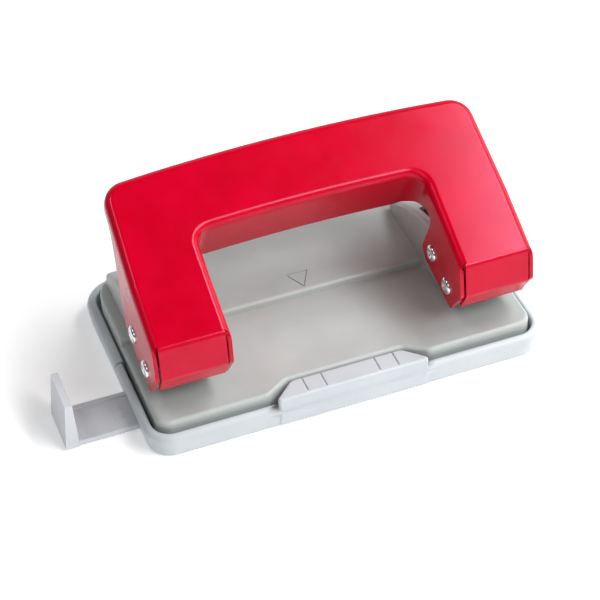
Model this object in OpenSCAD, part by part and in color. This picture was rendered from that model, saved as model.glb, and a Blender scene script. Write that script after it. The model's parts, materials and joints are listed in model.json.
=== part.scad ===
// Two-hole paper punch: a pressed-steel handle on two brackets, a steel base,
// a snap-on plastic cover that opens for the waste, and a sliding paper guide.
// X runs left to right, Y front to back, Z up. The origin is on the table,
// under the middle of the cover.

/* [Punching] */
// Distance between the two punched holes
hole_spacing = 80; // [79:0.5:81]
// Distance from the back stop to the holes' centres
hole_margin = 12; // [11.5:0.5:12.5]
// Diameter of a punch pin
pin_d = 5.5; // [5:0.25:6]
// How far the pins travel
pin_travel = 4.47; // [4.4:0.01:4.5]
// Height of the throat that the paper slides into
throat_h = 2.1; // [1.8:0.1:2.3]

/* [Cover] */
// Length of the cover over its rim
cover_length = 107; // [106:0.5:109]
// Depth of the cover over its rim
cover_depth = 63.6; // [62.8:0.4:65]
// Height of the rim
rim_h = 7; // [6:0.2:7]
// Thickness of the rim
rim_w = 2.6; // [2.2:0.2:2.8]
// Radius of the cover's front corners
cover_corner_r = 7; // [6.5:0.5:8]
// Thickness of the cover's floor
floor_t = 1.4; // [1.2:0.1:1.5]
// Height of the thumb tab
thumb_h = 9.5; // [9:0.1:9.6]

/* [Base] */
// Height of the front table's top
table_h = 9.55; // [9.3:0.05:10]
// Thickness of the steel sheet
base_sheet = 1.2; // [1:0.1:1.4]
// Gap between the base and the cover's rim
base_gap = 0.4; // [0.35:0.05:0.5]

/* [Handle] */
// Slope of the handle at rest, in degrees
handle_slope = 26.8; // [26:0.1:27.5]
// Width over an arm's front end
arm_w = 20; // [19.6:0.1:20.2]
// Length of the handle along its slope
handle_length = 47.3; // [46.5:0.1:48]
// Length of the finger window along the slope
window_length = 28.2; // [27.8:0.1:29]
// Thickness of the steel sheet
handle_sheet = 1; // [0.9:0.1:1.1]
// Diameter of the pivot and drive rods
rod_d = 2.6; // [2.4:0.1:2.8]

/* [Paper guide] */
// How far the guide's end plate stands out from the cover's middle
guide_reach = 72.1; // [71:0.1:73]
// Width of the guide's rail
guide_w = 12.7; // [12.3:0.1:12.8]
// Height of the end plate's top above the table
guide_plate_top = 13.7; // [12:0.1:14]

/* [Hidden] */
$fn = 48;
eps = 0.05;
far = 200;
arc_steps = 6;

// Where the paper stops, and where the pins come down
stop_y = 2;
pin_y = stop_y - hole_margin;
arm_x = hole_spacing / 2;
pin_r = pin_d / 2;
rod_r = rod_d / 2;
deck_h = table_h + throat_h;

// Pivot of the handle, and the drive rod's place at rest
pivot = [pin_y - 9.6, 20.6];
drive = [pin_y - 0.25, 24];
// The drive rod swings this far backwards as it goes down
drive_swing = 0.6;
slot_play = 0.09;
pivot_play = 0.04;

// Heights on a pin
pin_tip_z = deck_h + 0.35;
pin_top_z = drive[1] + 2;
guide_plate_z = deck_h + 0.25;
guide_plate_t = 1.2;
clip_z = drive[1] - 2.8;
clip_t = 0.8;
die_r = 4.5;
die_depth = 2.4;
die_play = 0.1;

// Bracket
bracket_half = 7.6;
bracket_sheet = 1.2;
bracket_back = 24.3;
arch_centre = [-20.9, -52.35];
arch_r = 81;
window_y = [1.5, 9.3];
window_half = 5.5;
nose_r = 4.6;

// Cover and hinge line
hinge_y = -1;
hinge_gap = 0.3;
hinge_z = 0.25;
hinge_web_t = 0.24;
foot_inset = 0.8;
foot_h = 0.9;

// Base
base_length = cover_length - 2 * (rim_w + base_gap);
base_depth = cover_depth - 2 * (rim_w + base_gap);
base_corner_r = cover_corner_r - rim_w - base_gap;
// The rear corners are rounder than the front ones, and the base's most of all
rear_corner_more = 2.5;
base_rear_corner_r = 10;
skirt_z = floor_t + 0.5;
thumb_front = 21.4;
thumb_back = 15;
thumb_depth = 6;
thumb_gap = 0.6;

// Paper guide: the rail lies in a channel sunk into the front cover's floor
channel_floor = 0.35;
rail_z = channel_floor + 0.1;
rail_t = 1.1;
rail_h = 1.5;
rail_lip = 1.2;
rail_end = -12;
rail_play = 0.3;
guide_y = -12.65;
channel_top = rail_z + rail_h + rail_play;
channel_end = 4;
channel_wall = 1;

// ---- Plane geometry ----

function unit(v) = v / norm(v);
function left_of(v) = [-v[1], v[0]];
function turn(from, to) = (to - from + 540) % 360 - 180;

// One corner of an outline, rounded to radius r
function round_corner(before, here, after, r) =
    let (
        u = unit(before - here),
        v = unit(after - here),
        half = acos(u * v) / 2,
        centre = here + unit(u + v) * r / sin(half),
        start = here + u * r / tan(half) - centre,
        end = here + v * r / tan(half) - centre,
        a = atan2(start[1], start[0]),
        sweep = turn(a, atan2(end[1], end[0]))
    )
    [for (k = [0 : arc_steps]) centre + r * [cos(a + sweep * k / arc_steps), sin(a + sweep * k / arc_steps)]];

// An outline from corners given as [x, y, radius]
function rounded(corners) =
    let (n = len(corners), at = [for (c = corners) [c[0], c[1]]])
    [for (i = [0 : n - 1])
        each (corners[i][2] == 0
            ? [at[i]]
            : round_corner(at[(i + n - 1) % n], at[i], at[(i + 1) % n], corners[i][2]))];

// An outline that runs anticlockwise, moved inwards by d
function inset(points, d) =
    let (n = len(points))
    [for (i = [0 : n - 1])
        let (
            a = left_of(unit(points[i] - points[(i + n - 1) % n])),
            b = left_of(unit(points[(i + 1) % n] - points[i]))
        )
        points[i] + d * (a + b) / (1 + a * b)];

function cover_outline() =
    let (x = cover_length / 2, y = cover_depth / 2, front = cover_corner_r, rear = front + rear_corner_more)
    rounded([[-x, -y, front], [x, -y, front], [x, y, rear], [-x, y, rear]]);

module block(from, to) {
    translate(from) cube(to - from);
}

// A profile in Y and Z, drawn out along X
module along_x(x0, x1) {
    translate([x0, 0, 0]) rotate([90, 0, 90]) linear_extrude(x1 - x0) children();
}

module rod_hole(at, x0, x1, r) {
    translate([x0, at[0], at[1]]) rotate([0, 90, 0]) cylinder(r = r, h = x1 - x0);
}

// ---- Handle ----

arm_out = arm_x + arm_w / 2;
arm_in = arm_x - arm_w / 2;
bar_out = arm_out - 1.05;
bow_r = 580;
bar_corner_r = 6;
window_corner_r = 4;
// Where the handle's flanges run on, past the front bend
flange_run = 8;
handle_front = [pivot[0] - 7.8, 32.9];
slit = 0.45;

function bow(x) = -x * x / (2 * bow_r);

// Outline of the handle's top in its own plane; lead moves the arms' front ends forward
function handle_outline(lead) =
    let (back = handle_length, inner = window_length)
    rounded(concat(
        [[-arm_out, -lead, 0], [-arm_in, -lead, 0], [-arm_in, inner + bow(arm_in), window_corner_r]],
        [for (x = [-15, 0, 15]) [x, inner + bow(x), 0]],
        [[arm_in, inner + bow(arm_in), window_corner_r], [arm_in, -lead, 0], [arm_out, -lead, 0]],
        [[arm_out, 17, 0], [bar_out, back + bow(bar_out), bar_corner_r]],
        [for (x = [30, 15, 0, -15, -30]) [x, back + bow(x), 0]],
        [[-bar_out, back + bow(bar_out), bar_corner_r], [-arm_out, 17, 0]]
    ));

// Side view of the flanges, as [distance along the slope, depth below the top]
outer_flange = [
    [0, 0], [-5.2, -8], [-3.7, -18.2], [14.5, -22.4], [17.5, -20.8],
    [31.5, -6.9], [36, -4.2], [60, -4.2], [60, 0]
];
inner_flange = [
    [0, 0], [-5.2, -8], [-3.7, -18.2], [14, -22.3], [16.2, -20.3],
    [16.2, -9.2], [17.6, -7.5], [20, -7.7], [29, -17], [35, -17], [35, 0]
];
// The front tab's outside, from the bend to its lower edge
tab_line = [[0, 0], [-5.2, -8], [-4.95, -14.6]];

module handle_plane() {
    translate([0, handle_front[0], handle_front[1]]) rotate([handle_slope, 0, 0]) children();
}

module flange_walls() {
    difference() {
        translate([0, 0, -30]) linear_extrude(30) polygon(handle_outline(flange_run));
        translate([0, 0, -31]) linear_extrude(32) polygon(inset(handle_outline(flange_run), handle_sheet));
    }
}

module front_tab(side) {
    back = [for (p = tab_line) p + [handle_sheet, 0]];
    width = arm_w - 2 * (handle_sheet + slit);
    along_x(side * arm_x - width / 2, side * arm_x + width / 2)
        polygon(concat(tab_line, [back[2], back[1], back[0]]));
}

module handle() {
    color("crimson") difference() {
        handle_plane() {
            translate([0, 0, -handle_sheet]) linear_extrude(handle_sheet) polygon(handle_outline(0));
            intersection() {
                flange_walls();
                union() {
                    for (side = [-1, 1]) {
                        along_x(side * arm_x + (side > 0 ? 0 : -20), side * arm_x + (side > 0 ? 20 : 0))
                            polygon(outer_flange);
                    }
                    along_x(-arm_x, arm_x) polygon(inner_flange);
                    along_x(-arm_x, arm_x) polygon([[38, 0], [60, 0], [60, -4.2], [38, -4.2]]);
                }
            }
            for (side = [-1, 1]) front_tab(side);
        }
        for (at = [pivot, drive]) rod_hole(at, -far, far, rod_r);
    }
}

// A steel rod across one arm, with a staked head at each end
module rod(side, at) {
    head_r = 2.3;
    head_t = 0.8;
    color("silver") {
        rod_hole(at, side * arm_x - arm_w / 2, side * arm_x + arm_w / 2, rod_r);
        rod_hole(at, side * arm_x - arm_w / 2 - head_t, side * arm_x - arm_w / 2, head_r);
        rod_hole(at, side * arm_x + arm_w / 2, side * arm_x + arm_w / 2 + head_t, head_r);
    }
}

// ---- Punches ----

module at_pin(side) {
    translate([side * arm_x, pin_y, 0]) children();
}

module punch_pin(side) {
    notch_h = 1.2;
    slot_r = rod_r + slot_play;
    slot_half = drive_swing / 2 + 0.15;
    color("lightgray") at_pin(side) difference() {
        translate([0, 0, pin_tip_z]) cylinder(r = pin_r, h = pin_top_z - pin_tip_z);
        // the two cutting points
        along_x(-pin_d, pin_d) polygon([
            [-pin_d, pin_tip_z - notch_h], [pin_d, pin_tip_z - notch_h], [0, pin_tip_z + notch_h]
        ]);
        // cross slot for the drive rod
        for (y = [-slot_half, slot_half]) rod_hole([y, drive[1]], -pin_d, pin_d, slot_r);
        block([-pin_d, -slot_half, drive[1] - slot_r], [pin_d, slot_half, drive[1] + slot_r]);
    }
}

module ring(outer_r, inner_r, z0, z1) {
    difference() {
        translate([0, 0, z0]) cylinder(r = outer_r, h = z1 - z0);
        translate([0, 0, z0 - 1]) cylinder(r = inner_r, h = z1 - z0 + 2);
    }
}

module spring_clip(side) {
    color("dimgray") at_pin(side) ring(4.2, pin_r, clip_z, clip_z + clip_t);
}

module return_spring(side) {
    color("gray") at_pin(side) ring(4, pin_r + 0.35, guide_plate_z + guide_plate_t, clip_z);
}

module pin_guide(side) {
    half_x = bracket_half - bracket_sheet;
    half_y = 6.5;
    color("darkgray") at_pin(side) difference() {
        block([-half_x, -half_y, guide_plate_z], [half_x, half_y, guide_plate_z + guide_plate_t]);
        translate([0, 0, guide_plate_z - 1]) cylinder(r = pin_r + pivot_play, h = guide_plate_t + 2);
    }
}

module die(side) {
    color("silver") at_pin(side) ring(die_r, pin_r + die_play, table_h - die_depth, table_h);
}

// ---- Brackets ----

function arch(r, y) = arch_centre[1] + sqrt(r * r - pow(y - arch_centre[0], 2));

// Side view of a bracket's cheek, open to the throat below its front part
function cheek(back, r) = concat(
    [[pivot[0] + 1.8, deck_h], [back, deck_h]],
    [for (k = [0 : 12]) let (y = back + (pivot[0] + 2 - back) * k / 12) [y, arch(r, y)]],
    [for (a = [110 : 23 : 225]) pivot + nose_r * [cos(a), sin(a)]],
    [[pivot[0] - 0.6, deck_h + 2.2]]
);

lug_y = [8, 17];
lug_w = 4;
lug_t = 0.9;

module bracket(side) {
    inner_half = bracket_half - bracket_sheet;
    slot_half = drive_swing / 2 + 0.3;
    slot_r = rod_r + 0.3;
    slot_y = drive[0] + drive_swing / 2;
    color("darkgray") translate([side * arm_x, 0, 0]) difference() {
        union() {
            along_x(-bracket_half, bracket_half) polygon(cheek(bracket_back, arch_r));
            // tabs through the deck, turned outwards underneath
            for (cheek_side = [-1, 1], y = lug_y) {
                outer = cheek_side * bracket_half;
                inner = outer - cheek_side * bracket_sheet;
                bent = outer + cheek_side * 1.5;
                block([min(inner, outer), y, deck_h - base_sheet - lug_t],
                    [max(inner, outer), y + lug_w, deck_h + 1]);
                block([min(inner, bent), y, deck_h - base_sheet - lug_t],
                    [max(inner, bent), y + lug_w, deck_h - base_sheet]);
            }
        }
        // the room between the cheeks, open at the front and below
        along_x(-inner_half, inner_half) polygon(concat(
            [[-far, -far], [bracket_back - bracket_sheet, -far]],
            [for (k = [0 : 12])
                let (y = (bracket_back - bracket_sheet) + (-30 - bracket_back) * k / 12)
                [y, arch(arch_r - bracket_sheet, y)]],
            [[-far, arch(arch_r - bracket_sheet, -30)]]
        ));
        rod_hole(pivot, -far, far, rod_r + pivot_play);
        // slot that the drive rod comes down in
        for (z = [drive[1] - pin_travel, drive[1]]) {
            for (y = [slot_y - slot_half, slot_y + slot_half]) rod_hole([y, z], -far, far, slot_r);
            block([-far, slot_y - slot_half, z - slot_r], [far, slot_y + slot_half, z + slot_r]);
        }
        block([-far, slot_y - slot_half - slot_r, drive[1] - pin_travel],
            [far, slot_y + slot_half + slot_r, drive[1]]);
        // window in the arch
        block([-window_half, window_y[0], deck_h + 6], [window_half, window_y[1], far]);
    }
}

// ---- Base ----

function base_outline() =
    let (
        x = base_length / 2,
        y = base_depth / 2,
        r = base_corner_r,
        back = -cover_depth / 2 + thumb_depth + thumb_gap
    )
    rounded([
        [-x, -y, r], [-thumb_front - 0.2, -y, 2], [-thumb_back - thumb_gap, back, 2],
        [thumb_back + thumb_gap, back, 2], [thumb_front + 0.2, -y, 2], [x, -y, r],
        [x, y, base_rear_corner_r], [-x, y, base_rear_corner_r]
    ]);

module base_solid(d, front_top, deck_top, deck_start, bottom) {
    translate([0, 0, bottom]) linear_extrude(front_top - bottom) polygon(inset(base_outline(), d));
    intersection() {
        translate([0, 0, bottom]) linear_extrude(deck_top - bottom) polygon(inset(base_outline(), d));
        block([-far, deck_start, -1], [far, far, far]);
    }
}

// Triangle that marks the middle of the sheet
module centre_mark(size) {
    polygon([[-size, 9.3 + size - 2.9], [0, 3.6 + 2 * (2.9 - size)], [size, 9.3 + size - 2.9]]);
}

module base_plate() {
    mark_depth = 0.3;
    color("gainsboro") difference() {
        base_solid(0, table_h, deck_h, stop_y, skirt_z);
        base_solid(base_sheet, table_h - base_sheet, deck_h - base_sheet, stop_y + base_sheet, skirt_z - 1);
        for (side = [-1, 1]) {
            at_pin(side) translate([0, 0, -1]) cylinder(r = die_r, h = far);
            for (cheek_side = [-1, 1], y = lug_y) {
                x0 = side * arm_x + cheek_side * (bracket_half - bracket_sheet / 2) - bracket_sheet / 2;
                block([x0, y, table_h], [x0 + bracket_sheet, y + lug_w, far]);
            }
        }
        // room for the paper guide's channel in the left wall
        block([-far, guide_y - guide_w / 2 - channel_wall - 0.6, 0],
            [-base_length / 2 + 5, guide_y + guide_w / 2 + channel_wall + 0.6, channel_top + 0.3]);
        translate([0, 0, deck_h - mark_depth]) linear_extrude(1) difference() {
            centre_mark(3.1);
            centre_mark(2.6);
        }
    }
}

// ---- Cover ----

module cover_solid() {
    linear_extrude(rim_h) polygon(inset(cover_outline(), foot_inset));
    translate([0, 0, foot_h]) linear_extrude(rim_h - foot_h)
        polygon(cover_outline());
}

module cover_shell() {
    difference() {
        cover_solid();
        translate([0, 0, floor_t]) linear_extrude(rim_h)
            polygon(inset(cover_outline(), rim_w));
    }
}

module rear_cover() {
    ledge = base_sheet + 1.2;
    color("lightsteelblue") intersection() {
        union() {
            cover_shell();
            // ledge that the base stands on
            translate([0, 0, floor_t - eps]) linear_extrude(skirt_z - floor_t + eps) difference() {
                polygon(inset(cover_outline(), rim_w - eps));
                polygon(inset(cover_outline(), rim_w + base_gap + ledge));
            }
        }
        block([-far, hinge_y + hinge_gap, -1], [far, far, far]);
    }
}

module thumb_tab() {
    front = -cover_depth / 2;
    difference() {
        translate([0, 0, foot_h]) linear_extrude(thumb_h - foot_h) polygon([
            [-thumb_front, front], [thumb_front, front],
            [thumb_back, front + thumb_depth], [-thumb_back, front + thumb_depth]
        ]);
        for (x = [-12.2, -7.2, 7.2, 12.2]) {
            block([x - 0.25, front + 0.8, thumb_h - 0.5], [x + 0.25, far, far]);
        }
    }
}

module front_cover() {
    half = guide_w / 2 + rail_play;
    color("lightsteelblue") difference() {
        union() {
            intersection() {
                cover_shell();
                block([-far, -far, -1], [far, hinge_y - hinge_gap, far]);
            }
            thumb_tab();
            // channel walls beside the guide's rail
            for (way = [-1, 1]) {
                y = guide_y + way * (half + channel_wall / 2);
                block([-cover_length / 2 + 1, y - channel_wall / 2, floor_t - eps],
                    [channel_end, y + channel_wall / 2, channel_top]);
            }
        }
        block([-far, guide_y - half, channel_floor], [channel_end, guide_y + half, channel_top]);
    }
}

module living_hinge() {
    reach = cover_length / 2 - cover_corner_r;
    color("lightsteelblue")
        block([-reach, hinge_y - 0.25, hinge_z - hinge_web_t / 2],
            [reach, hinge_y + hinge_gap, hinge_z + hinge_web_t / 2]);
}

// ---- Paper guide ----

module paper_guide() {
    plate_top_t = 1.9;
    plate_foot_t = 3.6;
    // the plate stands a little past the rail on both sides, and its front edge slopes
    front_past = 0.2;
    front_slope = 1;
    rear_past = 0.95;
    plate_lean = 1.2;
    plate_foot_z = 0.3;
    y0 = guide_y - guide_w / 2;
    y1 = guide_y + guide_w / 2;
    x0 = -guide_reach;
    color("whitesmoke") {
        difference() {
            block([x0 + plate_foot_t - 1, y0, rail_z], [rail_end, y1, rail_z + rail_h]);
            block([x0 + plate_foot_t + 2.2, y0 + rail_lip, rail_z + rail_t], [far, y1 - rail_lip, far]);
        }
        intersection() {
            translate([0, y1 + rear_past, 0]) rotate([90, 0, 0]) linear_extrude(far) polygon([
                [x0, plate_foot_z], [x0 + plate_foot_t, plate_foot_z],
                [x0 + plate_lean + plate_top_t, guide_plate_top], [x0 + plate_lean, guide_plate_top]
            ]);
            along_x(-far, 0) polygon([
                [y0 - front_past, 0], [far, 0],
                [far, guide_plate_top], [y0 - front_past + front_slope, guide_plate_top]
            ]);
        }
    }
}

handle();
rod(-1, pivot);  // left_pivot_rod
rod(1, pivot);  // right_pivot_rod
rod(-1, drive);  // left_drive_rod
rod(1, drive);  // right_drive_rod
punch_pin(-1);  // left_punch_pin
punch_pin(1);  // right_punch_pin
spring_clip(-1);  // left_spring_clip
spring_clip(1);  // right_spring_clip
return_spring(-1);  // left_return_spring
return_spring(1);  // right_return_spring
pin_guide(-1);  // left_pin_guide
pin_guide(1);  // right_pin_guide
bracket(-1);  // left_bracket
bracket(1);  // right_bracket
die(-1);  // left_die
die(1);  // right_die
base_plate();
rear_cover();
front_cover();
living_hinge();
paper_guide();
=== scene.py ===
"""Looks of a two-hole desk punch: red pressed-steel lever, grey steel base and brackets, pale plastic
cover and paper guide. Lengths are in millimetres until a mesh is made, and then in metres."""

import json
import math

import bmesh
import bpy
import numpy as np
from mathutils import Matrix, Vector


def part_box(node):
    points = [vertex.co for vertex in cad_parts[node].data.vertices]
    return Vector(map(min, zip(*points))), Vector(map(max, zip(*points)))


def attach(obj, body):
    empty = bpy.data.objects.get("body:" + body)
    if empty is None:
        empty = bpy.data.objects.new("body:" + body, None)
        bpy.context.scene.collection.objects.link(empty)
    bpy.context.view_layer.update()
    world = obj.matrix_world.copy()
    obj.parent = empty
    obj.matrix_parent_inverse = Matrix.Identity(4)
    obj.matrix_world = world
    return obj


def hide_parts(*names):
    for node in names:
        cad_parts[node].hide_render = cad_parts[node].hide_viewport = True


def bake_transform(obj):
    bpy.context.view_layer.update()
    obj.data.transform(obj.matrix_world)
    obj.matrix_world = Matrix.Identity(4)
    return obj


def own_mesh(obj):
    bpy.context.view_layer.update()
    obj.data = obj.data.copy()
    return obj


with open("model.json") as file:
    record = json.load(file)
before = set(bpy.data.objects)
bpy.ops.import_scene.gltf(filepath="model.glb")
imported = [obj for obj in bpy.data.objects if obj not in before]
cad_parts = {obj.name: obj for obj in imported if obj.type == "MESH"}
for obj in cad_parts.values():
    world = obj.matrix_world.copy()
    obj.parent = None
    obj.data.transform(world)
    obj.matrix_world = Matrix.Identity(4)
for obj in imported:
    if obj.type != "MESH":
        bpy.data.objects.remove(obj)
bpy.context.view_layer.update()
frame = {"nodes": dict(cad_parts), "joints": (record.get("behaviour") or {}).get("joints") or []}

MM = 0.001


# ---- Measures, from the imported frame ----

def box_mm(node):
    low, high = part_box(node)
    return np.array(low) / MM, np.array(high) / MM


def joint(name):
    return next(j for j in frame["joints"] if j["name"] == name)


def middle_mm(node):
    low, high = box_mm(node)
    return (low + high) / 2


# Pivot and drive rods, as (Y, Z)
PIVOT = np.array(joint("press")["pos_m"][1:]) / MM
DRIVE = middle_mm("left_drive_rod")[1:]
ARM_X = middle_mm("right_pivot_rod")[0]
PIN_Y = middle_mm("left_punch_pin")[1]
TABLE_Z = box_mm("left_die")[1][2]
BASE_LOW, BASE_HIGH = box_mm("base_plate")
BASE_X, BASE_Y, DECK_Z = BASE_HIGH
COVER_X, COVER_Y, RIM_Z = box_mm("rear_cover")[1]
THUMB_Z = box_mm("front_cover")[1][2]
HINGE_Y = joint("cover_open")["pos_m"][1] / MM
GUIDE_LOW, GUIDE_HIGH = box_mm("paper_guide")

# The step between the table and the deck, which stops the paper
STOP_Y = 2.0
# The guide's rail, and the channel in the front cover that it slides in
CHANNEL_FLOOR, CHANNEL_END, RAIL_PLAY = 0.35, 4, 0.3
RAIL_Z, RAIL_FLOOR, RAIL_HIGH = CHANNEL_FLOOR + 0.1, 1.1, 1.5
RAIL_TOP = RAIL_Z + RAIL_HIGH
CHANNEL_TOP = RAIL_TOP + RAIL_PLAY
RAIL_Y = GUIDE_LOW[1] + 0.2, GUIDE_HIGH[1] - 0.95
HOLE_SIDES = 48


# ---- Plane geometry ----

def unit(v):
    return v / np.linalg.norm(v)


def rounded(corners, steps=8):
    """An outline through corners given as (x, y, radius). A corner of radius 0 stays sharp."""
    at = [np.array(c[:2], float) for c in corners]
    out = []
    for i, here in enumerate(at):
        radius = corners[i][2]
        if radius == 0:
            out.append(here)
            continue
        u, v = unit(at[i - 1] - here), unit(at[(i + 1) % len(at)] - here)
        half = math.acos(np.clip(u @ v, -1, 1)) / 2
        centre = here + unit(u + v) * radius / math.sin(half)
        start = here + u * radius / math.tan(half) - centre
        end = here + v * radius / math.tan(half) - centre
        a = math.atan2(start[1], start[0])
        sweep = (math.atan2(end[1], end[0]) - a + 3 * math.pi) % (2 * math.pi) - math.pi
        for k in range(steps + 1):
            t = a + sweep * k / steps
            out.append(centre + radius * np.array([math.cos(t), math.sin(t)]))
    return np.array(out)


def resampled(points, step):
    """The same open line with its long stretches divided into pieces of about step."""
    out = [points[0]]
    for a, b in zip(points[:-1], points[1:]):
        n = max(1, int(round(np.linalg.norm(b - a) / step)))
        out += [a + (b - a) * k / n for k in range(1, n + 1)]
    return np.array(out)


def normals_left(points, closed=False):
    """Unit normals to the left of the line's direction."""
    if closed:
        d = np.roll(points, -1, 0) - np.roll(points, 1, 0)
    else:
        d = np.gradient(points, axis=0)
    d /= np.linalg.norm(d, axis=1)[:, None]
    return np.stack([-d[:, 1], d[:, 0]], 1)


def fillet(radius, steps):
    """Quarter round as (how far in from the edge, how far down), from the flat to the wall."""
    turns = [math.pi / 2 * k / steps for k in range(steps + 1)]
    return [(radius * (1 - math.sin(t)), radius * (1 - math.cos(t))) for t in turns]


# ---- Mesh tools ----

def mesh_object(name, verts, faces, weld=1e-3):
    """A mesh object from points in mm. Points closer than weld are joined."""
    mesh = bpy.data.meshes.new(name)
    mesh.from_pydata([tuple(np.array(v) * MM) for v in verts], [], faces)
    obj = bpy.data.objects.new(name, mesh)
    bpy.context.scene.collection.objects.link(obj)
    bm = bmesh.new()
    bm.from_mesh(mesh)
    bmesh.ops.remove_doubles(bm, verts=bm.verts, dist=weld * MM)
    bmesh.ops.dissolve_degenerate(bm, edges=bm.edges, dist=weld * MM)
    bmesh.ops.recalc_face_normals(bm, faces=bm.faces)
    bm.to_mesh(mesh)
    bm.free()
    return obj


def grid(rows):
    """Points and faces of a sheet from rows of points."""
    rows = np.array(rows)
    n, m = rows.shape[:2]
    faces = [(i * m + j, i * m + j + 1, (i + 1) * m + j + 1, (i + 1) * m + j)
             for i in range(n - 1) for j in range(m - 1)]
    return [tuple(p) for p in rows.reshape(-1, 3)], faces


class Builder:
    """Collects sheets and polygons into one mesh."""

    def __init__(self):
        self.verts, self.faces = [], []

    def sheet(self, rows):
        verts, faces = grid(rows)
        base = len(self.verts)
        self.verts += verts
        self.faces += [tuple(base + i for i in f) for f in faces]

    def polygon(self, points):
        base = len(self.verts)
        self.verts += [tuple(p) for p in points]
        self.faces.append(tuple(range(base, base + len(points))))

    def prism(self, bottom, top):
        """A closed solid between two matching polygons."""
        self.polygon(bottom)
        self.polygon(top)
        self.sheet([[*bottom, bottom[0]], [*top, top[0]]])

    def make(self, name, weld=1e-3):
        return mesh_object(name, self.verts, self.faces, weld)


def prism_x(name, outline, x0, x1):
    """A solid with an outline in Y and Z, drawn out along X."""
    b = Builder()
    b.prism([(x0, y, z) for y, z in outline], [(x1, y, z) for y, z in outline])
    return b.make(name)


def prism_z(name, outline, z0, z1):
    """A solid with an outline in X and Y, drawn out along Z."""
    b = Builder()
    b.prism([(x, y, z0) for x, y in outline], [(x, y, z1) for x, y in outline])
    return b.make(name)


def box_outline(low, high):
    """The corners of a rectangle between two opposite ones."""
    return [(low[0], low[1]), (high[0], low[1]), (high[0], high[1]), (low[0], high[1])]


def circle(centre, radius):
    turns = [2 * math.pi * k / HOLE_SIDES for k in range(HOLE_SIDES)]
    return [(centre[0] + radius * math.cos(t), centre[1] + radius * math.sin(t)) for t in turns]


def facing_up(obj):
    """Turns an open sheet's faces so that the most of it looks up."""
    if sum(p.normal.z * p.area for p in obj.data.polygons) < 0:
        obj.data.flip_normals()


def bake(obj):
    """Applies the object's modifiers to its mesh."""
    bpy.context.view_layer.update()
    graph = bpy.context.evaluated_depsgraph_get()
    mesh = bpy.data.meshes.new_from_object(obj.evaluated_get(graph))
    obj.modifiers.clear()
    old, obj.data = obj.data, mesh
    bpy.data.meshes.remove(old)


def thicken(obj, thickness, even=True):
    """Gives a sheet its thickness, on the side away from its normals."""
    m = obj.modifiers.new("sheet", "SOLIDIFY")
    m.thickness = thickness * MM
    m.offset = -1
    m.use_even_offset = even
    m.use_quality_normals = True
    bake(obj)


def combine(obj, other, operation):
    """Cuts or joins obj with another solid, which is used up."""
    m = obj.modifiers.new("cut", "BOOLEAN")
    m.operation = operation
    m.solver = "EXACT"
    m.object = other
    bake(obj)
    bpy.data.objects.remove(other)


def cut(obj, *cutters):
    for c in cutters:
        combine(obj, c, "DIFFERENCE")


def join(obj, other):
    combine(obj, other, "UNION")


def soften(obj, width, angle=40, segments=2):
    """Small round on the sharp edges."""
    m = obj.modifiers.new("edges", "BEVEL")
    m.width = width * MM
    m.segments = segments
    m.limit_method = "ANGLE"
    m.angle_limit = math.radians(angle)
    m.use_clamp_overlap = True


def shade(obj, angle=35):
    """Smooth shading that keeps flats flat and sharp edges sharp."""
    obj.data.shade_smooth()
    obj.data.set_sharp_from_angle(angle=math.radians(angle))
    m = obj.modifiers.new("normals", "WEIGHTED_NORMAL")
    m.keep_sharp = True
    m.weight = 80


def place(obj, material, slot, body, *nodes):
    """Gives a new piece its material, its body and the CAD nodes that it stands for."""
    obj.data.materials.clear()
    obj.data.materials.append(material)
    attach(obj, body)
    if nodes:
        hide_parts(*nodes)


# ---- Materials ----

# What noise in Blender mostly keeps within
NOISE_SPAN = 0.3, 0.7

def shader(name):
    m = bpy.data.materials.new(name)
    m.use_nodes = True
    nodes = m.node_tree.nodes
    return m, nodes, m.node_tree.links, nodes["Principled BSDF"]


def noise(nodes, links, scale, detail, stretch):
    """Noise in object space; scale is waves per metre."""
    where = nodes.new("ShaderNodeTexCoord")
    mapping = nodes.new("ShaderNodeMapping")
    mapping.inputs["Scale"].default_value = stretch
    n = nodes.new("ShaderNodeTexNoise")
    n.inputs["Scale"].default_value = scale
    n.inputs["Detail"].default_value = detail
    links.new(where.outputs["Object"], mapping.inputs["Vector"])
    links.new(mapping.outputs["Vector"], n.inputs["Vector"])
    return n.outputs["Fac"]


def ranged(nodes, links, value, source, target):
    """value carried from the source range to the target range, and held at its ends."""
    r = nodes.new("ShaderNodeMapRange")
    r.inputs["From Min"].default_value, r.inputs["From Max"].default_value = source
    r.inputs["To Min"].default_value, r.inputs["To Max"].default_value = target
    links.new(value, r.inputs["Value"])
    return r.outputs["Result"]


def tinted(nodes, links, value, dark, light):
    """A colour between dark and light, as noise goes from its low to its high."""
    mix = nodes.new("ShaderNodeMix")
    mix.data_type = "RGBA"
    factor, low, high = mix.inputs[0], mix.inputs[6], mix.inputs[7]
    low.default_value = (*dark, 1)
    high.default_value = (*light, 1)
    links.new(ranged(nodes, links, value, NOISE_SPAN, (0, 1)), factor)
    return mix.outputs[2]


def bumped(nodes, links, *heights):
    """Bumps laid one on another, each given as (height, depth in metres)."""
    normal = None
    for height, depth in heights:
        b = nodes.new("ShaderNodeBump")
        b.inputs["Strength"].default_value = 1
        b.inputs["Distance"].default_value = depth
        links.new(height, b.inputs["Height"])
        if normal is not None:
            links.new(normal, b.inputs["Normal"])
        normal = b.outputs["Normal"]
    return normal


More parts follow.
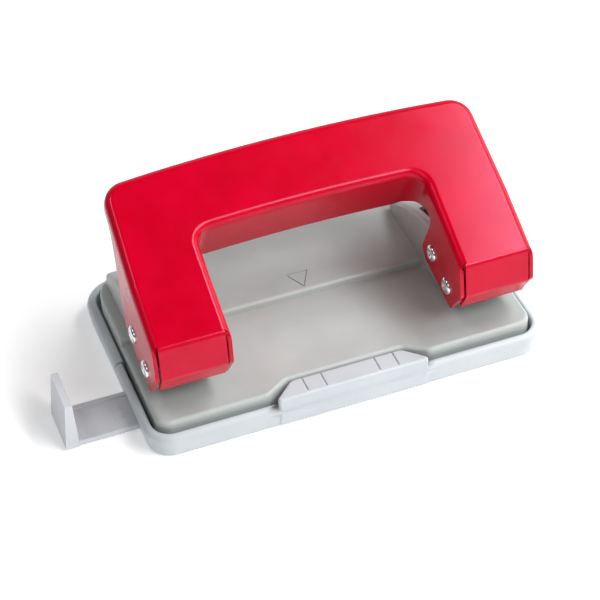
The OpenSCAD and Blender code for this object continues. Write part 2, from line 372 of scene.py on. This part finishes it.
def finish(name, dark, light, rough, bumps, mottle, gloss, stretch=(1, 1, 1)):
    """
    A surface with colour from dark to light, roughness over the rough range, and bumps.
    mottle and gloss are the (scale, detail) of the noise behind colour and roughness, and bumps are
    (scale, detail, depth in metres).
    """
    m, nodes, links, bsdf = shader(name)
    colour = noise(nodes, links, *mottle, stretch)
    links.new(tinted(nodes, links, colour, dark, light), bsdf.inputs["Base Color"])
    wear = noise(nodes, links, *gloss, stretch)
    links.new(ranged(nodes, links, wear, NOISE_SPAN, rough), bsdf.inputs["Roughness"])
    heights = [(noise(nodes, links, scale, detail, stretch), depth) for scale, detail, depth in bumps]
    links.new(bumped(nodes, links, *heights), bsdf.inputs["Normal"])
    return m, bsdf


def paint(name, dark, light, rough, peel):
    """Stoved enamel on sheet steel: slight mottling, orange peel and an uneven gloss."""
    bumps = [(750, 2, peel), (40, 2, peel * 9)]
    return finish(name, dark, light, rough, bumps, mottle=(90, 4), gloss=(220, 5))[0]


def red_enamel():
    """The lever's paint, with a weak sheen of a slightly violet tint."""
    bumps = [(750, 2, 0.7e-6), (40, 2, 6.3e-6)]
    m, bsdf = finish("red_enamel", (0.48, 0.0, 0.012), (0.55, 0.0, 0.018), (0.15, 0.2), bumps,
                     mottle=(90, 4), gloss=(220, 5))
    bsdf.inputs["Specular IOR Level"].default_value = 0.3
    bsdf.inputs["Specular Tint"].default_value = (1, 0.62, 0.9, 1)
    return m


def plastic(name, dark, light, rough, grain, subsurface):
    """Moulded plastic: faint flow marks, a fine spark grain and a little light through it."""
    bumps = [(4200, 2, grain), (60, 2, grain * 6)]
    m, bsdf = finish(name, dark, light, rough, bumps, mottle=(45, 3), gloss=(400, 4))
    bsdf.inputs["Subsurface Weight"].default_value = subsurface
    bsdf.inputs["Subsurface Radius"].default_value = (0.002, 0.002, 0.0022)
    bsdf.inputs["Subsurface Scale"].default_value = 0.6
    return m


def steel(name, dark, light, rough, streak, depth):
    """Bare or plated steel with the marks of its making along streak."""
    bumps = [(1500, 3, depth)]
    m, bsdf = finish(name, dark, light, rough, bumps, mottle=(300, 4), gloss=(900, 4), stretch=streak)
    bsdf.inputs["Metallic"].default_value = 1
    return m


RED = red_enamel()
GREY = paint("grey_enamel", (0.405, 0.433, 0.42), (0.447, 0.475, 0.461), (0.32, 0.44), 2.5e-6)
BRACKET_GREY = paint("bracket_grey", (0.4, 0.4, 0.385), (0.46, 0.455, 0.44), (0.36, 0.48), 2.5e-6)
COVER_PALE = plastic("cover_plastic", (0.5, 0.534, 0.557), (0.547, 0.578, 0.6), (0.34, 0.46), 6e-6, 0.15)
GUIDE_PALE = plastic("guide_plastic", (0.57, 0.59, 0.62), (0.63, 0.645, 0.67), (0.3, 0.42), 5e-6, 0.1)
BRIGHT = steel("bright_plating", (0.72, 0.72, 0.72), (0.85, 0.85, 0.86), (0.1, 0.26), (1, 3, 3), 3e-6)
TOOL = steel("ground_steel", (0.48, 0.48, 0.49), (0.62, 0.62, 0.63), (0.22, 0.36), (1, 1, 6), 2e-6)
WIRE = steel("spring_wire", (0.32, 0.32, 0.34), (0.45, 0.45, 0.46), (0.24, 0.38), (2, 2, 1), 2e-6)


# ---- Handle ----

SLOPE = math.radians(26.8)
# Where the top's plane meets the front tabs' plane, as (Y, Z)
FRONT = PIVOT + np.array([-7.8, 12.3])
ARM_W = 20
ARM_OUT, ARM_IN = ARM_X + ARM_W / 2, ARM_X - ARM_W / 2
# Half the bar's length at its rear. From ARM_STRAIGHT up the slope, the arms' outsides lean in to it
BAR_OUT = ARM_OUT - 1.05
ARM_STRAIGHT = 17
HANDLE_LENGTH, WINDOW_LENGTH = 47.3, 28.2
BAR_CORNER_R, WINDOW_CORNER_R = 6, 4
HANDLE_SHEET = 1.0
# The bar's front and rear edges are bowed
BOW_R = 580
SIDE_R, SIDE_STEPS = 2.2, 8
# The tabs' section, as (distance along the slope, depth, radius), from the flat to the curled-in lower edge
TAB_SECTION = (3, 0, 0), (0, 0, 1.8), (-5.2, 8, 2.5), (-4.95, 14.6, 0)
TAB_PROFILE = resampled(rounded(TAB_SECTION)[1:], 1.5)
TAB_START = TAB_PROFILE[0][0]
# Below its bend a tab is wider by this share, which it gains over so many rows
TAB_FLARE, FLARE_ROWS = 0.035, 3
# Where the flanges start along the slope, and how far from there their columns lean
HEEL, LEAN_REACH = 0.8, 15
# The flanges' front edge, as depth below the top and distance along the slope
FRONT_EDGE = ([0, 0.25, 1, 2.4, 7.4, 8, 8.6, 18.2], [0.8, 0.75, 0.2, -1.3, -4.75, -5.1, -5.05, -3.7])
# Depth of a flange by its distance along the slope
OUTER_DEPTH = ([0.8, 13.5, 15.5, 17, 31.5, 34, 37, 60], [18.2, 22.0, 21.8, 20.6, 6.9, 5.0, 4.2, 4.2])
INNER_DEPTH = ([0.8, 13.2, 14.8, 15.8, 16.2, 16.45, 16.8, 17.6, 19.8, 21.5, 25, 27, 28],
               [18.2, 22.0, 21.5, 20.6, 19.2, 9.4, 8.0, 7.2, 7.2, 8.6, 12.5, 15.5, 17])
# The bar's own flange: its depth, and how far out from the middle it goes
BAR_FLANGE, BAR_FLANGE_X = 17.0, 26.5
# The inner flange's notch, which keeps its sharp corners: its middle and half its width
NOTCH_AT, NOTCH_HALF = 16.3, 2.2


def bow(x):
    return -x * x / (2 * BOW_R)


def in_plane(x, s, n):
    """A point of the handle from its X, its distance up the slope and its depth below the top."""
    return (x, FRONT[0] + s * math.cos(SLOPE) + n * math.sin(SLOPE),
            FRONT[1] + s * math.sin(SLOPE) - n * math.cos(SLOPE))


def front_shift(s, n):
    """Flange columns lean to follow the front edge, less and less towards the foot's rear."""
    lean = max(0.0, 1 - (s - HEEL) / LEAN_REACH)
    return s + (np.interp(n, *FRONT_EDGE) - HEEL) * lean


def flange_rows(line, out, depth, rows=18):
    """The side bend and flange along an edge line, as one row of points for each place on the line."""
    result = []
    for p, normal, d in zip(line, out, depth):
        row = []
        for inward, down in fillet(SIDE_R, SIDE_STEPS):
            at = p - normal * inward
            row.append(in_plane(at[0], front_shift(at[1], down), down))
        for k in range(1, rows + 1):
            n = SIDE_R + (d - SIDE_R) * k / rows
            row.append(in_plane(p[0], front_shift(p[1], n), n))
        result.append(row)
    return result


def softened(values, passes):
    """The values with their steps smoothed, and the same two ends."""
    v = np.array(values, float)
    for _ in range(passes):
        v[1:-1] = (v[:-2] + 2 * v[1:-1] + v[2:]) / 4
    return v


def handle_outline(half_width, length, corners, bar_points, step):
    """One edge of the top, from the left arm's front to the right arm's: in X and along the slope."""
    left = [(-half_width, TAB_START, 0), *corners]
    bar = [(x, length + bow(x), 0) for x in bar_points]
    right = [(-x, s, r) for x, s, r in reversed(left)]
    return resampled(rounded(left + bar + right, 14), step)


def front_tab(side, flat):
    """A tab as rows of points, which meet the flat and the first steps of the side bends."""
    end = flat + SIDE_R * math.sin(math.pi / 2 / SIDE_STEPS)
    rows = []
    for k, (s, n) in enumerate(TAB_PROFILE):
        fade = 1 - k / (len(TAB_PROFILE) - 1)
        row = []
        for x in (-end, *np.linspace(-flat, flat, 9), end):
            over = max(0.0, abs(x) - flat)
            drop = SIDE_R - math.sqrt(SIDE_R ** 2 - over ** 2)
            flared = x * (1 + TAB_FLARE * min(1, k / FLARE_ROWS))
            row.append(in_plane(side * ARM_X + flared, s, n + drop * fade))
        rows.append(row)
    return rows


def handle():
    """One pressing: a flat U with flanges all round it and a tab at the front of each arm."""
    outer = handle_outline(
        ARM_OUT, HANDLE_LENGTH,
        [(-ARM_OUT, ARM_STRAIGHT, 0), (-BAR_OUT, HANDLE_LENGTH + bow(BAR_OUT), BAR_CORNER_R)],
        range(-36, 37, 6), 0.8)
    inner = handle_outline(
        ARM_IN, WINDOW_LENGTH, [(-ARM_IN, WINDOW_LENGTH + bow(ARM_IN), WINDOW_CORNER_R)],
        range(-24, 25, 6), 0.4)
    outer_n, inner_n = normals_left(outer), -normals_left(inner)
    outer_depth = softened([np.interp(s, *OUTER_DEPTH) for x, s in outer], 2)
    inner_depth = [BAR_FLANGE if abs(x) < BAR_FLANGE_X else np.interp(s, *INNER_DEPTH) for x, s in inner]
    notch = np.abs(inner[:, 1] - NOTCH_AT) < NOTCH_HALF
    inner_depth = np.where(notch, inner_depth, softened(inner_depth, 3))
    flat = ARM_W / 2 - SIDE_R
    b = Builder()
    b.sheet(flange_rows(outer, outer_n, outer_depth))
    b.sheet(flange_rows(inner, inner_n, inner_depth))
    b.sheet(front_tab(-1, flat))
    b.sheet(front_tab(1, flat))

    # the flat top, round the outside and back round the window
    def bend_line(line, out):
        return [in_plane(*(p - m * SIDE_R), 0) for p, m in zip(line, out)]

    def tab_line(side):
        return [in_plane(side * ARM_X + x, TAB_START, 0) for x in np.linspace(flat, -flat, 9)[1:-1]]

    b.polygon(bend_line(outer, outer_n) + tab_line(1) + bend_line(inner, inner_n)[::-1] + tab_line(-1))
    obj = b.make("handle_shell", 2e-3)
    facing_up(obj)
    thicken(obj, HANDLE_SHEET)
    soften(obj, 0.14, 50)
    shade(obj, 32)
    place(obj, RED, "red_paint", "lever", "handle")


# ---- Rods ----

def lathe_x(name, profile, at):
    """A turned piece along X; the profile is (x, radius) from one end to the other, on the axis at both."""
    b = Builder()
    rows = []
    for x, r in profile:
        rows.append([(x, at[0] + r * math.cos(t), at[1] + r * math.sin(t))
                     for t in np.linspace(0, 2 * math.pi, HOLE_SIDES + 1)])
    b.sheet(rows)
    return b.make(name)


def rod(node, side, at):
    """Rod with staked ends: a raised ring round a dimple, flattened where the punch struck."""
    # a head as (height above the arm's face, radius), from the dimple's middle to the rim
    head = [(0.28, 0), (0.3, 0.45), (0.42, 0.7), (0.66, 0.95), (0.78, 1.25), (0.79, 1.5),
            (0.7, 1.85), (0.48, 2.15), (0.2, 2.28), (0.02, 2.28)]
    # the shaft meets the heads just inside the arm's faces
    shaft = -0.01, 1.28
    left_face, right_face = side * ARM_X - ARM_W / 2, side * ARM_X + ARM_W / 2
    left = [(left_face - h, r) for h, r in (*head, shaft)]
    right = [(right_face + h, r) for h, r in (shaft, *reversed(head))]
    obj = lathe_x(node + "_turned", left + right, at)
    shade(obj, 45)
    place(obj, BRIGHT, "bright_steel", "lever", node)


# ---- Brackets ----

ARCH_CENTRE, ARCH_R = np.array([-20.9, -52.35]), 81
BRACKET_HALF, BRACKET_SHEET = 7.6, 1.2
BRACKET_BACK, BRACKET_BACK_R = 24.3, 1.3
BRACKET_BEND = 1.2
NOSE_R = 4.6
PIVOT_BORE_R = 1.36
# The slot that the drive rod goes down in
DRIVE_TRAVEL, DRIVE_SLOT_R, DRIVE_SLOT_HALF, DRIVE_SLOT_SHIFT = 4.47, 1.6, 2.2, 0.3
# The window in the arch, as half its width and its two ends in Y
WINDOW_HALF, WINDOW_Y = 5.5, (1.5, 9.3)


def arch(y):
    return ARCH_CENTRE[1] + math.sqrt(ARCH_R ** 2 - (y - ARCH_CENTRE[0]) ** 2)


def bracket_sheet(centre):
    """The bracket's outside: an arched top with a bend down to a cheek at either side."""
    line = [(BRACKET_BACK, DECK_Z, 0), (BRACKET_BACK, arch(BRACKET_BACK) + 0.3, BRACKET_BACK_R)]
    line += [(y, arch(y), 0) for y in np.linspace(BRACKET_BACK - 2.2, PIVOT[0] + 2, 26)]
    line = resampled(rounded(line, 6), 1.2)
    inward = normals_left(line)
    half = [(BRACKET_HALF - i, d) for i, d in fillet(BRACKET_BEND, 7)]
    section = [(-x, d) for x, d in reversed(half)] + [(-2, 0), (2, 0)] + half
    b = Builder()
    b.sheet([[(centre + x, *(p + m * d)) for x, d in section] for p, m in zip(line, inward)])
    under_bend = [p + m * BRACKET_BEND for p, m in zip(line, inward)]
    turns = np.radians(np.linspace(80, 225, 16))
    nose = [(PIVOT[0] + NOSE_R * math.cos(t), PIVOT[1] + NOSE_R * math.sin(t)) for t in turns]
    cheek = under_bend + nose + [(PIVOT[0] - 0.6, DECK_Z + 2.2), (PIVOT[0] + 1.8, DECK_Z)]
    for x in (-BRACKET_HALF, BRACKET_HALF):
        b.polygon([(centre + x, y, z) for y, z in cheek])
    return b


def drive_slot():
    """Outline of the drive rod's slot in Y and Z."""
    middle = DRIVE[0] + DRIVE_SLOT_SHIFT
    turns = [math.pi * k / 12 for k in range(13) if k != 6]
    end = [(math.copysign(DRIVE_SLOT_HALF - DRIVE_SLOT_R, math.cos(t)) + DRIVE_SLOT_R * math.cos(t),
            DRIVE_SLOT_R * math.sin(t)) for t in turns]
    low = DRIVE[1] - DRIVE_TRAVEL
    return [(middle + y, DRIVE[1] + z) for y, z in end] + [(middle - y, low - z) for y, z in end]


def bracket(name, side):
    """Bent bracket with the pivot's bores, the drive rod's slots and a window in its arch."""
    centre = side * ARM_X
    obj = bracket_sheet(centre).make(name + "_pressing", 2e-3)
    facing_up(obj)
    thicken(obj, BRACKET_SHEET, even=False)
    across = centre - BRACKET_HALF - 3, centre + BRACKET_HALF + 3
    window = box_outline((centre - WINDOW_HALF, WINDOW_Y[0]), (centre + WINDOW_HALF, WINDOW_Y[1]))
    cut(obj,
        prism_x("cutter", circle(PIVOT, PIVOT_BORE_R), *across),
        prism_x("cutter", drive_slot(), *across),
        prism_z("cutter", rounded([(x, y, 1) for x, y in window], 5), DECK_Z + 6, DECK_Z + 30))
    soften(obj, 0.12, 50)
    shade(obj, 32)
    place(obj, BRACKET_GREY, "grey_zinc", "base", name)


# ---- Base ----

BASE_SHEET = 1.2
BASE_R = 1.1
BASE_FRONT_R, BASE_REAR_R = 4.0, 10
# The thumb tab on the front cover, and the recess in the base that goes round it
THUMB_FRONT, THUMB_BACK, THUMB_DEPTH, THUMB_GAP = 21.4, 15, 6.0, 0.6
RECESS_MOUTH, RECESS_MOUTH_R, RECESS_R = THUMB_FRONT + 0.2, 3.2, 3
# The step up to the deck leans back a little and is rounded at its top
STEP_R, STEP_LEAN = 1.3, 0.1
# The centre mark is the sunk outline of a triangle that points to the front
MARK_Y, MARK_HIGH, MARK_SIZE, MARK_LINE, MARK_DEPTH = 6.4, 3.0, 3.1, 0.45, 0.3
# The wall is cut away this far to either side of the paper guide
GUIDE_WALL = 1.9
DIE_HOLE_R = 4.5


def deck_step():
    """The step's section as (Y, Z), from the table up to the deck."""
    turns = np.linspace(0.3, math.pi / 2, 6)
    top = [(STOP_Y + STEP_LEAN + STEP_R * (1 - math.cos(t)), DECK_Z - STEP_R * (1 - math.sin(t)))
           for t in turns]
    return [(STOP_Y, TABLE_Z), *top]


def base_sheet():
    """The pressing's outside: a table, a step up to the deck, and a wall all round."""
    step_y, step_z = zip(*deck_step())
    recess = -COVER_Y + THUMB_DEPTH + THUMB_GAP
    front = [(BASE_X, -BASE_Y, BASE_FRONT_R), (RECESS_MOUTH, -BASE_Y, RECESS_MOUTH_R),
             (THUMB_BACK + THUMB_GAP, recess, RECESS_R)]
    corners = [(-BASE_X, y, 0) for y in reversed(step_y)]
    corners += [(-x, y, r) for x, y, r in front]
    corners += reversed(front)
    corners += [(BASE_X, y, 0) for y in step_y]
    corners += [(BASE_X, BASE_Y, BASE_REAR_R), (-BASE_X, BASE_Y, BASE_REAR_R)]
    arc = 10
    line = rounded(corners, arc)
    inward = normals_left(line, closed=True)
    # along the straight sides the wall stays square to them
    sides = np.abs(np.abs(line[:, 0]) - BASE_X) < 1e-6
    straight = sides & (np.abs(line[:, 1]) < BASE_Y - BASE_REAR_R - 0.5)
    inward[straight] = np.stack([-np.sign(line[straight, 0]), np.zeros(straight.sum())], 1)
    b = Builder()
    rows = []
    for p, m in zip(line, inward):
        top = np.interp(p[1], step_y, step_z)
        row = [(*(p + m * i), top - d) for i, d in fillet(BASE_R, 8)]
        row += [(*p, z) for z in np.linspace(top - BASE_R, BASE_LOW[2], 4)[1:]]
        rows.append(row)
    b.sheet(rows + [rows[0]])
    # the step's points come first at the left, and before the two rear corners at the right
    tops = [p + m * BASE_R for p, m in zip(line, inward)]
    count = len(step_y)
    right_end = len(line) - 2 * (arc + 1)
    left, right = tops[:count][::-1], tops[right_end - count:right_end]
    b.polygon([(*p, TABLE_Z) for p in tops[count - 1:right_end - count + 1]])
    b.polygon([(*p, DECK_Z) for p in tops[right_end - 1:] + tops[:1]])
    b.sheet([[(*l, z), (*r, z)] for l, r, z in zip(left, right, step_z)])
    return b


def centre_mark():
    """A thin triangular ring to cut the mark with."""
    def triangle(size):
        return [(-size, MARK_Y + size), (0, MARK_Y + MARK_HIGH - 2 * size), (size, MARK_Y + size)]

    ring = prism_z("cutter", triangle(MARK_SIZE), DECK_Z - MARK_DEPTH, DECK_Z + 1)
    cut(ring, prism_z("core", triangle(MARK_SIZE - MARK_LINE), DECK_Z - 1, DECK_Z + 2))
    return ring


def base():
    """Base pressing with its centre mark, the dies' holes and a gap for the guide."""
    obj = base_sheet().make("base_pressing", 2e-3)
    facing_up(obj)
    thicken(obj, BASE_SHEET)
    cut(obj, centre_mark())
    for side in (-1, 1):
        cut(obj, prism_z("cutter", circle((side * ARM_X, PIN_Y), DIE_HOLE_R), TABLE_Z - 3, TABLE_Z + 3))
    y0, y1 = GUIDE_LOW[1] - GUIDE_WALL, GUIDE_HIGH[1] + GUIDE_WALL
    guide_gap = box_outline((-BASE_X - 5, y0), (-BASE_X + 5, y1))
    cut(obj, prism_z("cutter", guide_gap, 0, CHANNEL_TOP + RAIL_PLAY))
    soften(obj, 0.1, 50)
    shade(obj, 32)
    place(obj, GREY, "grey_paint", "base", "base_plate")


# ---- Cover ----

COVER_FRONT_R, COVER_REAR_R = 7.0, 9.5
FLOOR_T = 1.4
HINGE_GAP = 0.3
REAR_RIM, FRONT_RIM = 2.6, 2.1
# The rim's top is rounded more to the outside than to the inside
RIM_OUT_R, RIM_IN_R = 1.7, 0.7
# V grooves across the thumb tab
GROOVE_X = -12.2, -7.2, 7.2, 12.2
GROOVE_HALF, GROOVE_DEPTH, GROOVE_SKEW = 0.4, 0.5, 0.15
# The living hinge: half its thickness, its mid height, and how far it reaches to the front and rear
WEB_HALF, WEB_Z, WEB_FRONT, WEB_REAR = 0.12, 0.25, 0.26, 0.3


def rim_profile(width):
    """The cover's section as (distance in, height), from its floor over the rim to its foot."""
    top = [(width, FLOOR_T)]
    top += [(width - RIM_IN_R * (1 - math.cos(t)), RIM_Z - RIM_IN_R * (1 - math.sin(t)))
            for t in np.linspace(0, math.pi / 2, 5)]
    top += [(inward, RIM_Z - down) for inward, down in fillet(RIM_OUT_R, 8)]
    foot = rounded([(0, 4, 0), (0.75, 0, 0.9), (3, 0, 0)], 5)[1:-1]
    return [*top, *map(tuple, foot)]


def cover_part(name, way, width):
    """Front (way -1) or rear (way 1) part of the cover, a closed solid with a square end at the hinge."""
    end = HINGE_Y + way * HINGE_GAP
    radius = COVER_REAR_R if way > 0 else COVER_FRONT_R
    corners = [(-COVER_X, end, 0), (-COVER_X, way * COVER_Y, radius), (COVER_X, way * COVER_Y, radius),
               (COVER_X, end, 0)]
    line = resampled(rounded(corners, 12), 6)
    inward = normals_left(line) * -way
    inward[0], inward[-1] = (1, 0), (-1, 0)
    profile = rim_profile(width)
    rows = [[(*(p + m * u), z) for u, z in profile] for p, m in zip(line, inward)]
    b = Builder()
    b.sheet(rows)
    b.polygon([r[0] for r in rows])
    b.polygon([r[-1] for r in rows])
    b.polygon([*rows[0], *reversed(rows[-1])])
    return b.make(name)


def thumb_tab():
    """Tab with a round all over, four V grooves and a flush front."""
    front = -COVER_Y + 0.02
    rear = front + THUMB_DEPTH
    plan = [(-THUMB_FRONT, front, 0.8), (THUMB_FRONT, front, 0.8),
            (THUMB_BACK, rear, 3), (-THUMB_BACK, rear, 3)]
    obj = prism_z("thumb", rounded(plan, 5), 0.6, THUMB_Z - 0.02)
    soften(obj, 0.7, 50, 4)
    bake(obj)
    for x in GROOVE_X:
        brim = THUMB_Z + 0.02
        vee = [(x - GROOVE_HALF, brim), (x + GROOVE_HALF, brim), (x + GROOVE_SKEW, THUMB_Z - GROOVE_DEPTH)]
        groove = Builder()
        groove.prism([(gx, front + 0.9, gz) for gx, gz in vee], [(gx, 0, gz) for gx, gz in vee])
        cut(obj, groove.make("cutter"))
    return obj


def covers():
    """Both parts of the cover. The front one has the thumb tab and the guide's channel between two ribs."""
    rear = cover_part("rear_cover_moulding", 1, REAR_RIM)
    soften(rear, 0.2, 50)
    shade(rear)
    place(rear, COVER_PALE, "cover_plastic", "base", "rear_cover")
    front = cover_part("front_cover_moulding", -1, FRONT_RIM)
    join(front, thumb_tab())
    low, high = RAIL_Y[0] - RAIL_PLAY, RAIL_Y[1] + RAIL_PLAY
    channel = box_outline((-COVER_X - 3, low), (CHANNEL_END, high))
    cut(front, prism_z("cutter", channel, CHANNEL_FLOOR, CHANNEL_TOP))
    for y0, y1 in ((low - 1, low), (high, high + 1)):
        rib = box_outline((-COVER_X + 1.5, y0), (CHANNEL_END, y1))
        join(front, prism_z("rib", rib, FLOOR_T - 0.2, CHANNEL_TOP))
    soften(front, 0.14, 60, 1)
    shade(front)
    place(front, COVER_PALE, "cover_plastic", "waste_flap", "front_cover")


def hinge_web():
    """Living hinge: a thin straight web between the cover's two parts."""
    reach = COVER_X - COVER_FRONT_R
    ys = np.linspace(HINGE_Y - WEB_FRONT, HINGE_Y + WEB_REAR, 9)
    loop = [(y, WEB_Z + WEB_HALF) for y in ys] + [(y, WEB_Z - WEB_HALF) for y in reversed(ys)]
    obj = prism_x("hinge_web", loop, -reach, reach)
    shade(obj)
    obj.data.materials.append(COVER_PALE)
    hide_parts("living_hinge")
    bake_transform(obj)


# ---- Paper guide ----

# The end plate's thickness at its foot and top, and how far its outside leans in
PLATE_FOOT, PLATE_TOP, PLATE_LEAN = 3.6, 1.9, 1.2
# The lips beside the rail's recess, and their slope
LIP, LIP_SLOPE = 1.2, 0.15
# Plain raised bars in the recess: where they are in X, how far from its middle, and their half sizes
BAR_X, BAR_Y, BAR_HALF_X, BAR_HALF_Y, BAR_HIGH = (-57.6, -55.9), (1.5, -1.5), 0.5, 0.9, 0.2


def rail(x0, x1, floor):
    """Flat rail with a lip along each side of its recess."""
    y0, y1 = RAIL_Y
    section = [(y0, RAIL_Z), (y1, RAIL_Z), (y1, RAIL_TOP), (y1 - LIP, RAIL_TOP),
               (y1 - LIP - LIP_SLOPE, floor), (y0 + LIP + LIP_SLOPE, floor),
               (y0 + LIP, RAIL_TOP), (y0, RAIL_TOP)]
    return prism_x("paper_guide_moulding", section, x0, x1)


def end_plate():
    """Upright plate that the paper's edge meets."""
    (x0, y0, low), (_, y1, high) = GUIDE_LOW, GUIDE_HIGH
    foot = box_outline((x0, y0), (x0 + PLATE_FOOT, y1))
    top = box_outline((x0 + PLATE_LEAN, y0 + 1), (x0 + PLATE_LEAN + PLATE_TOP, y1))
    plate = Builder()
    plate.prism([(x, y, low) for x, y in foot], [(x, y, high) for x, y in top])
    return plate.make("plate")


def recess_ramp(floor):
    """The recess starts with a low ramp at the plate's foot."""
    start = GUIDE_LOW[0] + PLATE_FOOT - 0.4
    side_view = [(start, floor - 0.3), (start + 3.2, floor - 0.3),
                 (start + 2.6, floor + 0.22), (start, floor + 0.34)]
    y0, y1 = RAIL_Y[0] + 0.4, RAIL_Y[1] - 0.4
    ramp = Builder()
    ramp.prism([(x, y0, z) for x, z in side_view], [(x, y1, z) for x, z in side_view])
    return ramp.make("ramp")


def paper_guide():
    """Flat rail with a shallow recess, and an end plate that leans in towards its top."""
    floor = RAIL_Z + RAIL_FLOOR
    obj = rail(GUIDE_LOW[0] + PLATE_FOOT - 1, GUIDE_HIGH[0], floor)
    join(obj, end_plate())
    join(obj, recess_ramp(floor))
    for x in BAR_X:
        for y in BAR_Y:
            middle = np.array([x, sum(RAIL_Y) / 2 + y])
            half = np.array([BAR_HALF_X, BAR_HALF_Y])
            plan = rounded([(*p, 0.3) for p in box_outline(middle - half, middle + half)], 3)
            join(obj, prism_z("bar", plan, floor - BAR_HIGH, floor + BAR_HIGH))
    soften(obj, 0.2, 50, 3)
    shade(obj)
    place(obj, GUIDE_PALE, "guide_plastic", "edge_guide", "paper_guide")


# ---- Inside the arms ----

def coil_spring(name, side):
    """Return spring: closed end coils and open turns between them."""
    low, high = box_mm(name)
    wire, coils = 0.32, 5.0
    steps, sides = 200, 10
    radius = (high[0] - low[0]) / 2 - wire - 0.02
    z0, z1 = low[2] + wire, high[2] - wire
    x, y = side * ARM_X, PIN_Y
    rows = []
    for t in np.linspace(0, 1, steps + 1):
        rise = np.interp(t, [0, 0.14, 0.86, 1], [0, 0.06, 0.94, 1])
        a = 2 * math.pi * coils * t
        z = z0 + (z1 - z0) * rise
        rows.append([(x + (radius + wire * math.cos(b)) * math.cos(a),
                      y + (radius + wire * math.cos(b)) * math.sin(a),
                      z + wire * math.sin(b)) for b in np.linspace(0, 2 * math.pi, sides + 1)])
    b = Builder()
    b.sheet(rows)
    b.polygon(rows[0][:-1])
    b.polygon(rows[-1][:-1])
    obj = b.make(name + "_coil")
    shade(obj, 50)
    place(obj, WIRE, "spring_steel", "base", name)
    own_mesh(obj)


def carried_over(node, material, width):
    """A CAD node that keeps its shape: flats joined up, edges softened and a finish of its own."""
    obj = frame["nodes"][node]
    flats = obj.modifiers.new("flats", "DECIMATE")
    flats.decimate_type = "DISSOLVE"
    flats.angle_limit = math.radians(1)
    soften(obj, width, 50)
    obj.data.materials.clear()
    obj.data.materials.append(material)


handle()
for hand, side in (("left", -1), ("right", 1)):
    rod(f"{hand}_pivot_rod", side, PIVOT)
    rod(f"{hand}_drive_rod", side, DRIVE)
    bracket(f"{hand}_bracket", side)
    coil_spring(f"{hand}_return_spring", side)
    carried_over(f"{hand}_punch_pin", TOOL, 0.08)
    carried_over(f"{hand}_spring_clip", WIRE, 0.1)
    carried_over(f"{hand}_pin_guide", BRACKET_GREY, 0.12)
    carried_over(f"{hand}_die", TOOL, 0.08)
base()
covers()
hinge_web()
paper_guide()


# ---- Stage, light and camera ----

def floor():
    """Plain white floor, which gives a little light of its own so that it stays pale in the shade."""
    bpy.ops.mesh.primitive_plane_add(size=6, location=(0, 0, -0.0002))
    obj = bpy.context.object
    obj.name = "floor"
    m, nodes, links, bsdf = shader("floor")
    bsdf.inputs["Base Color"].default_value = (0.93, 0.93, 0.93, 1)
    bsdf.inputs["Roughness"].default_value = 0.9
    bsdf.inputs["Specular IOR Level"].default_value = 0.1
    bsdf.inputs["Emission Color"].default_value = (1, 1, 1, 1)
    bsdf.inputs["Emission Strength"].default_value = 0.26
    obj.data.materials.append(m)


def area_light(name, place_at, aim, size, power, colour=(1, 1, 1)):
    data = bpy.data.lights.new(name, "AREA")
    data.shape = "RECTANGLE"
    data.size, data.size_y = size
    data.energy = power
    data.color = colour
    obj = bpy.data.objects.new(name, data)
    obj.location = place_at
    obj.rotation_euler = (Vector(aim) - Vector(place_at)).to_track_quat("-Z", "Y").to_euler()
    bpy.context.scene.collection.objects.link(obj)


def sky():
    """Studio round the object: bright walls to the rear and right, and a dark ceiling and front left."""
    world = bpy.data.worlds.new("studio")
    world.use_nodes = True
    nodes, links = world.node_tree.nodes, world.node_tree.links
    where = nodes.new("ShaderNodeTexCoord")
    parts = nodes.new("ShaderNodeSeparateXYZ")
    links.new(where.outputs["Generated"], parts.inputs[0])
    ceiling = ranged(nodes, links, parts.outputs["Z"], (0.66, 0.9), (1, 0.06))
    lean = nodes.new("ShaderNodeMath")
    lean.operation = "MULTIPLY_ADD"
    lean.inputs[1].default_value = 0.6
    links.new(parts.outputs["Y"], lean.inputs[0])
    links.new(parts.outputs["X"], lean.inputs[2])
    walls = ranged(nodes, links, lean.outputs[0], (-0.9, 0.7), (0.06, 0.62))
    strength = nodes.new("ShaderNodeMath")
    strength.operation = "MULTIPLY"
    links.new(ceiling, strength.inputs[0])
    links.new(walls, strength.inputs[1])
    background = nodes["Background"]
    background.inputs["Color"].default_value = (0.95, 0.98, 1, 1)
    links.new(strength.outputs[0], background.inputs["Strength"])
    bpy.context.scene.world = world


def lights():
    sky()
    area_light("key", (0.29, -0.04, 0.495), (0.02, -0.02, 0.03), (0.32, 0.16), 1.9, (0.96, 0.98, 1))
    area_light("right", (0.75, 0.1, 0.35), (0, 0, 0.03), (0.4, 0.4), 0.9)
    area_light("front", (0.42, -0.56, 0.69), (0, 0, 0.02), (0.5, 0.4), 6.2)
    area_light("front_left", (-0.3, -0.5, 0.55), (0, 0, 0.02), (0.5, 0.4), 0.8)
    area_light("top_left", (-0.42, 0.1, 0.8), (0, 0, 0.02), (0.3, 0.14), 0.9)


def camera():
    """A long lens, in front of the object, to its left and above it."""
    right = Vector((0.93430, -0.35569, -0.02394))
    up = Vector((0.25493, 0.61967, 0.74231))
    back = right.cross(up)
    data = bpy.data.cameras.new("camera")
    data.lens, data.sensor_width = 125.94, 36
    data.clip_start, data.clip_end = 0.01, 20
    obj = bpy.data.objects.new("camera", data)
    obj.matrix_world = Matrix.Translation((-0.138166, -0.380771, 0.375042)) @ Matrix(
        [(right[i], up[i], back[i]) for i in range(3)]).to_4x4()
    bpy.context.scene.collection.objects.link(obj)
    bpy.context.scene.camera = obj


floor()
lights()
camera()
bpy.context.scene.view_settings.view_transform = "Standard"
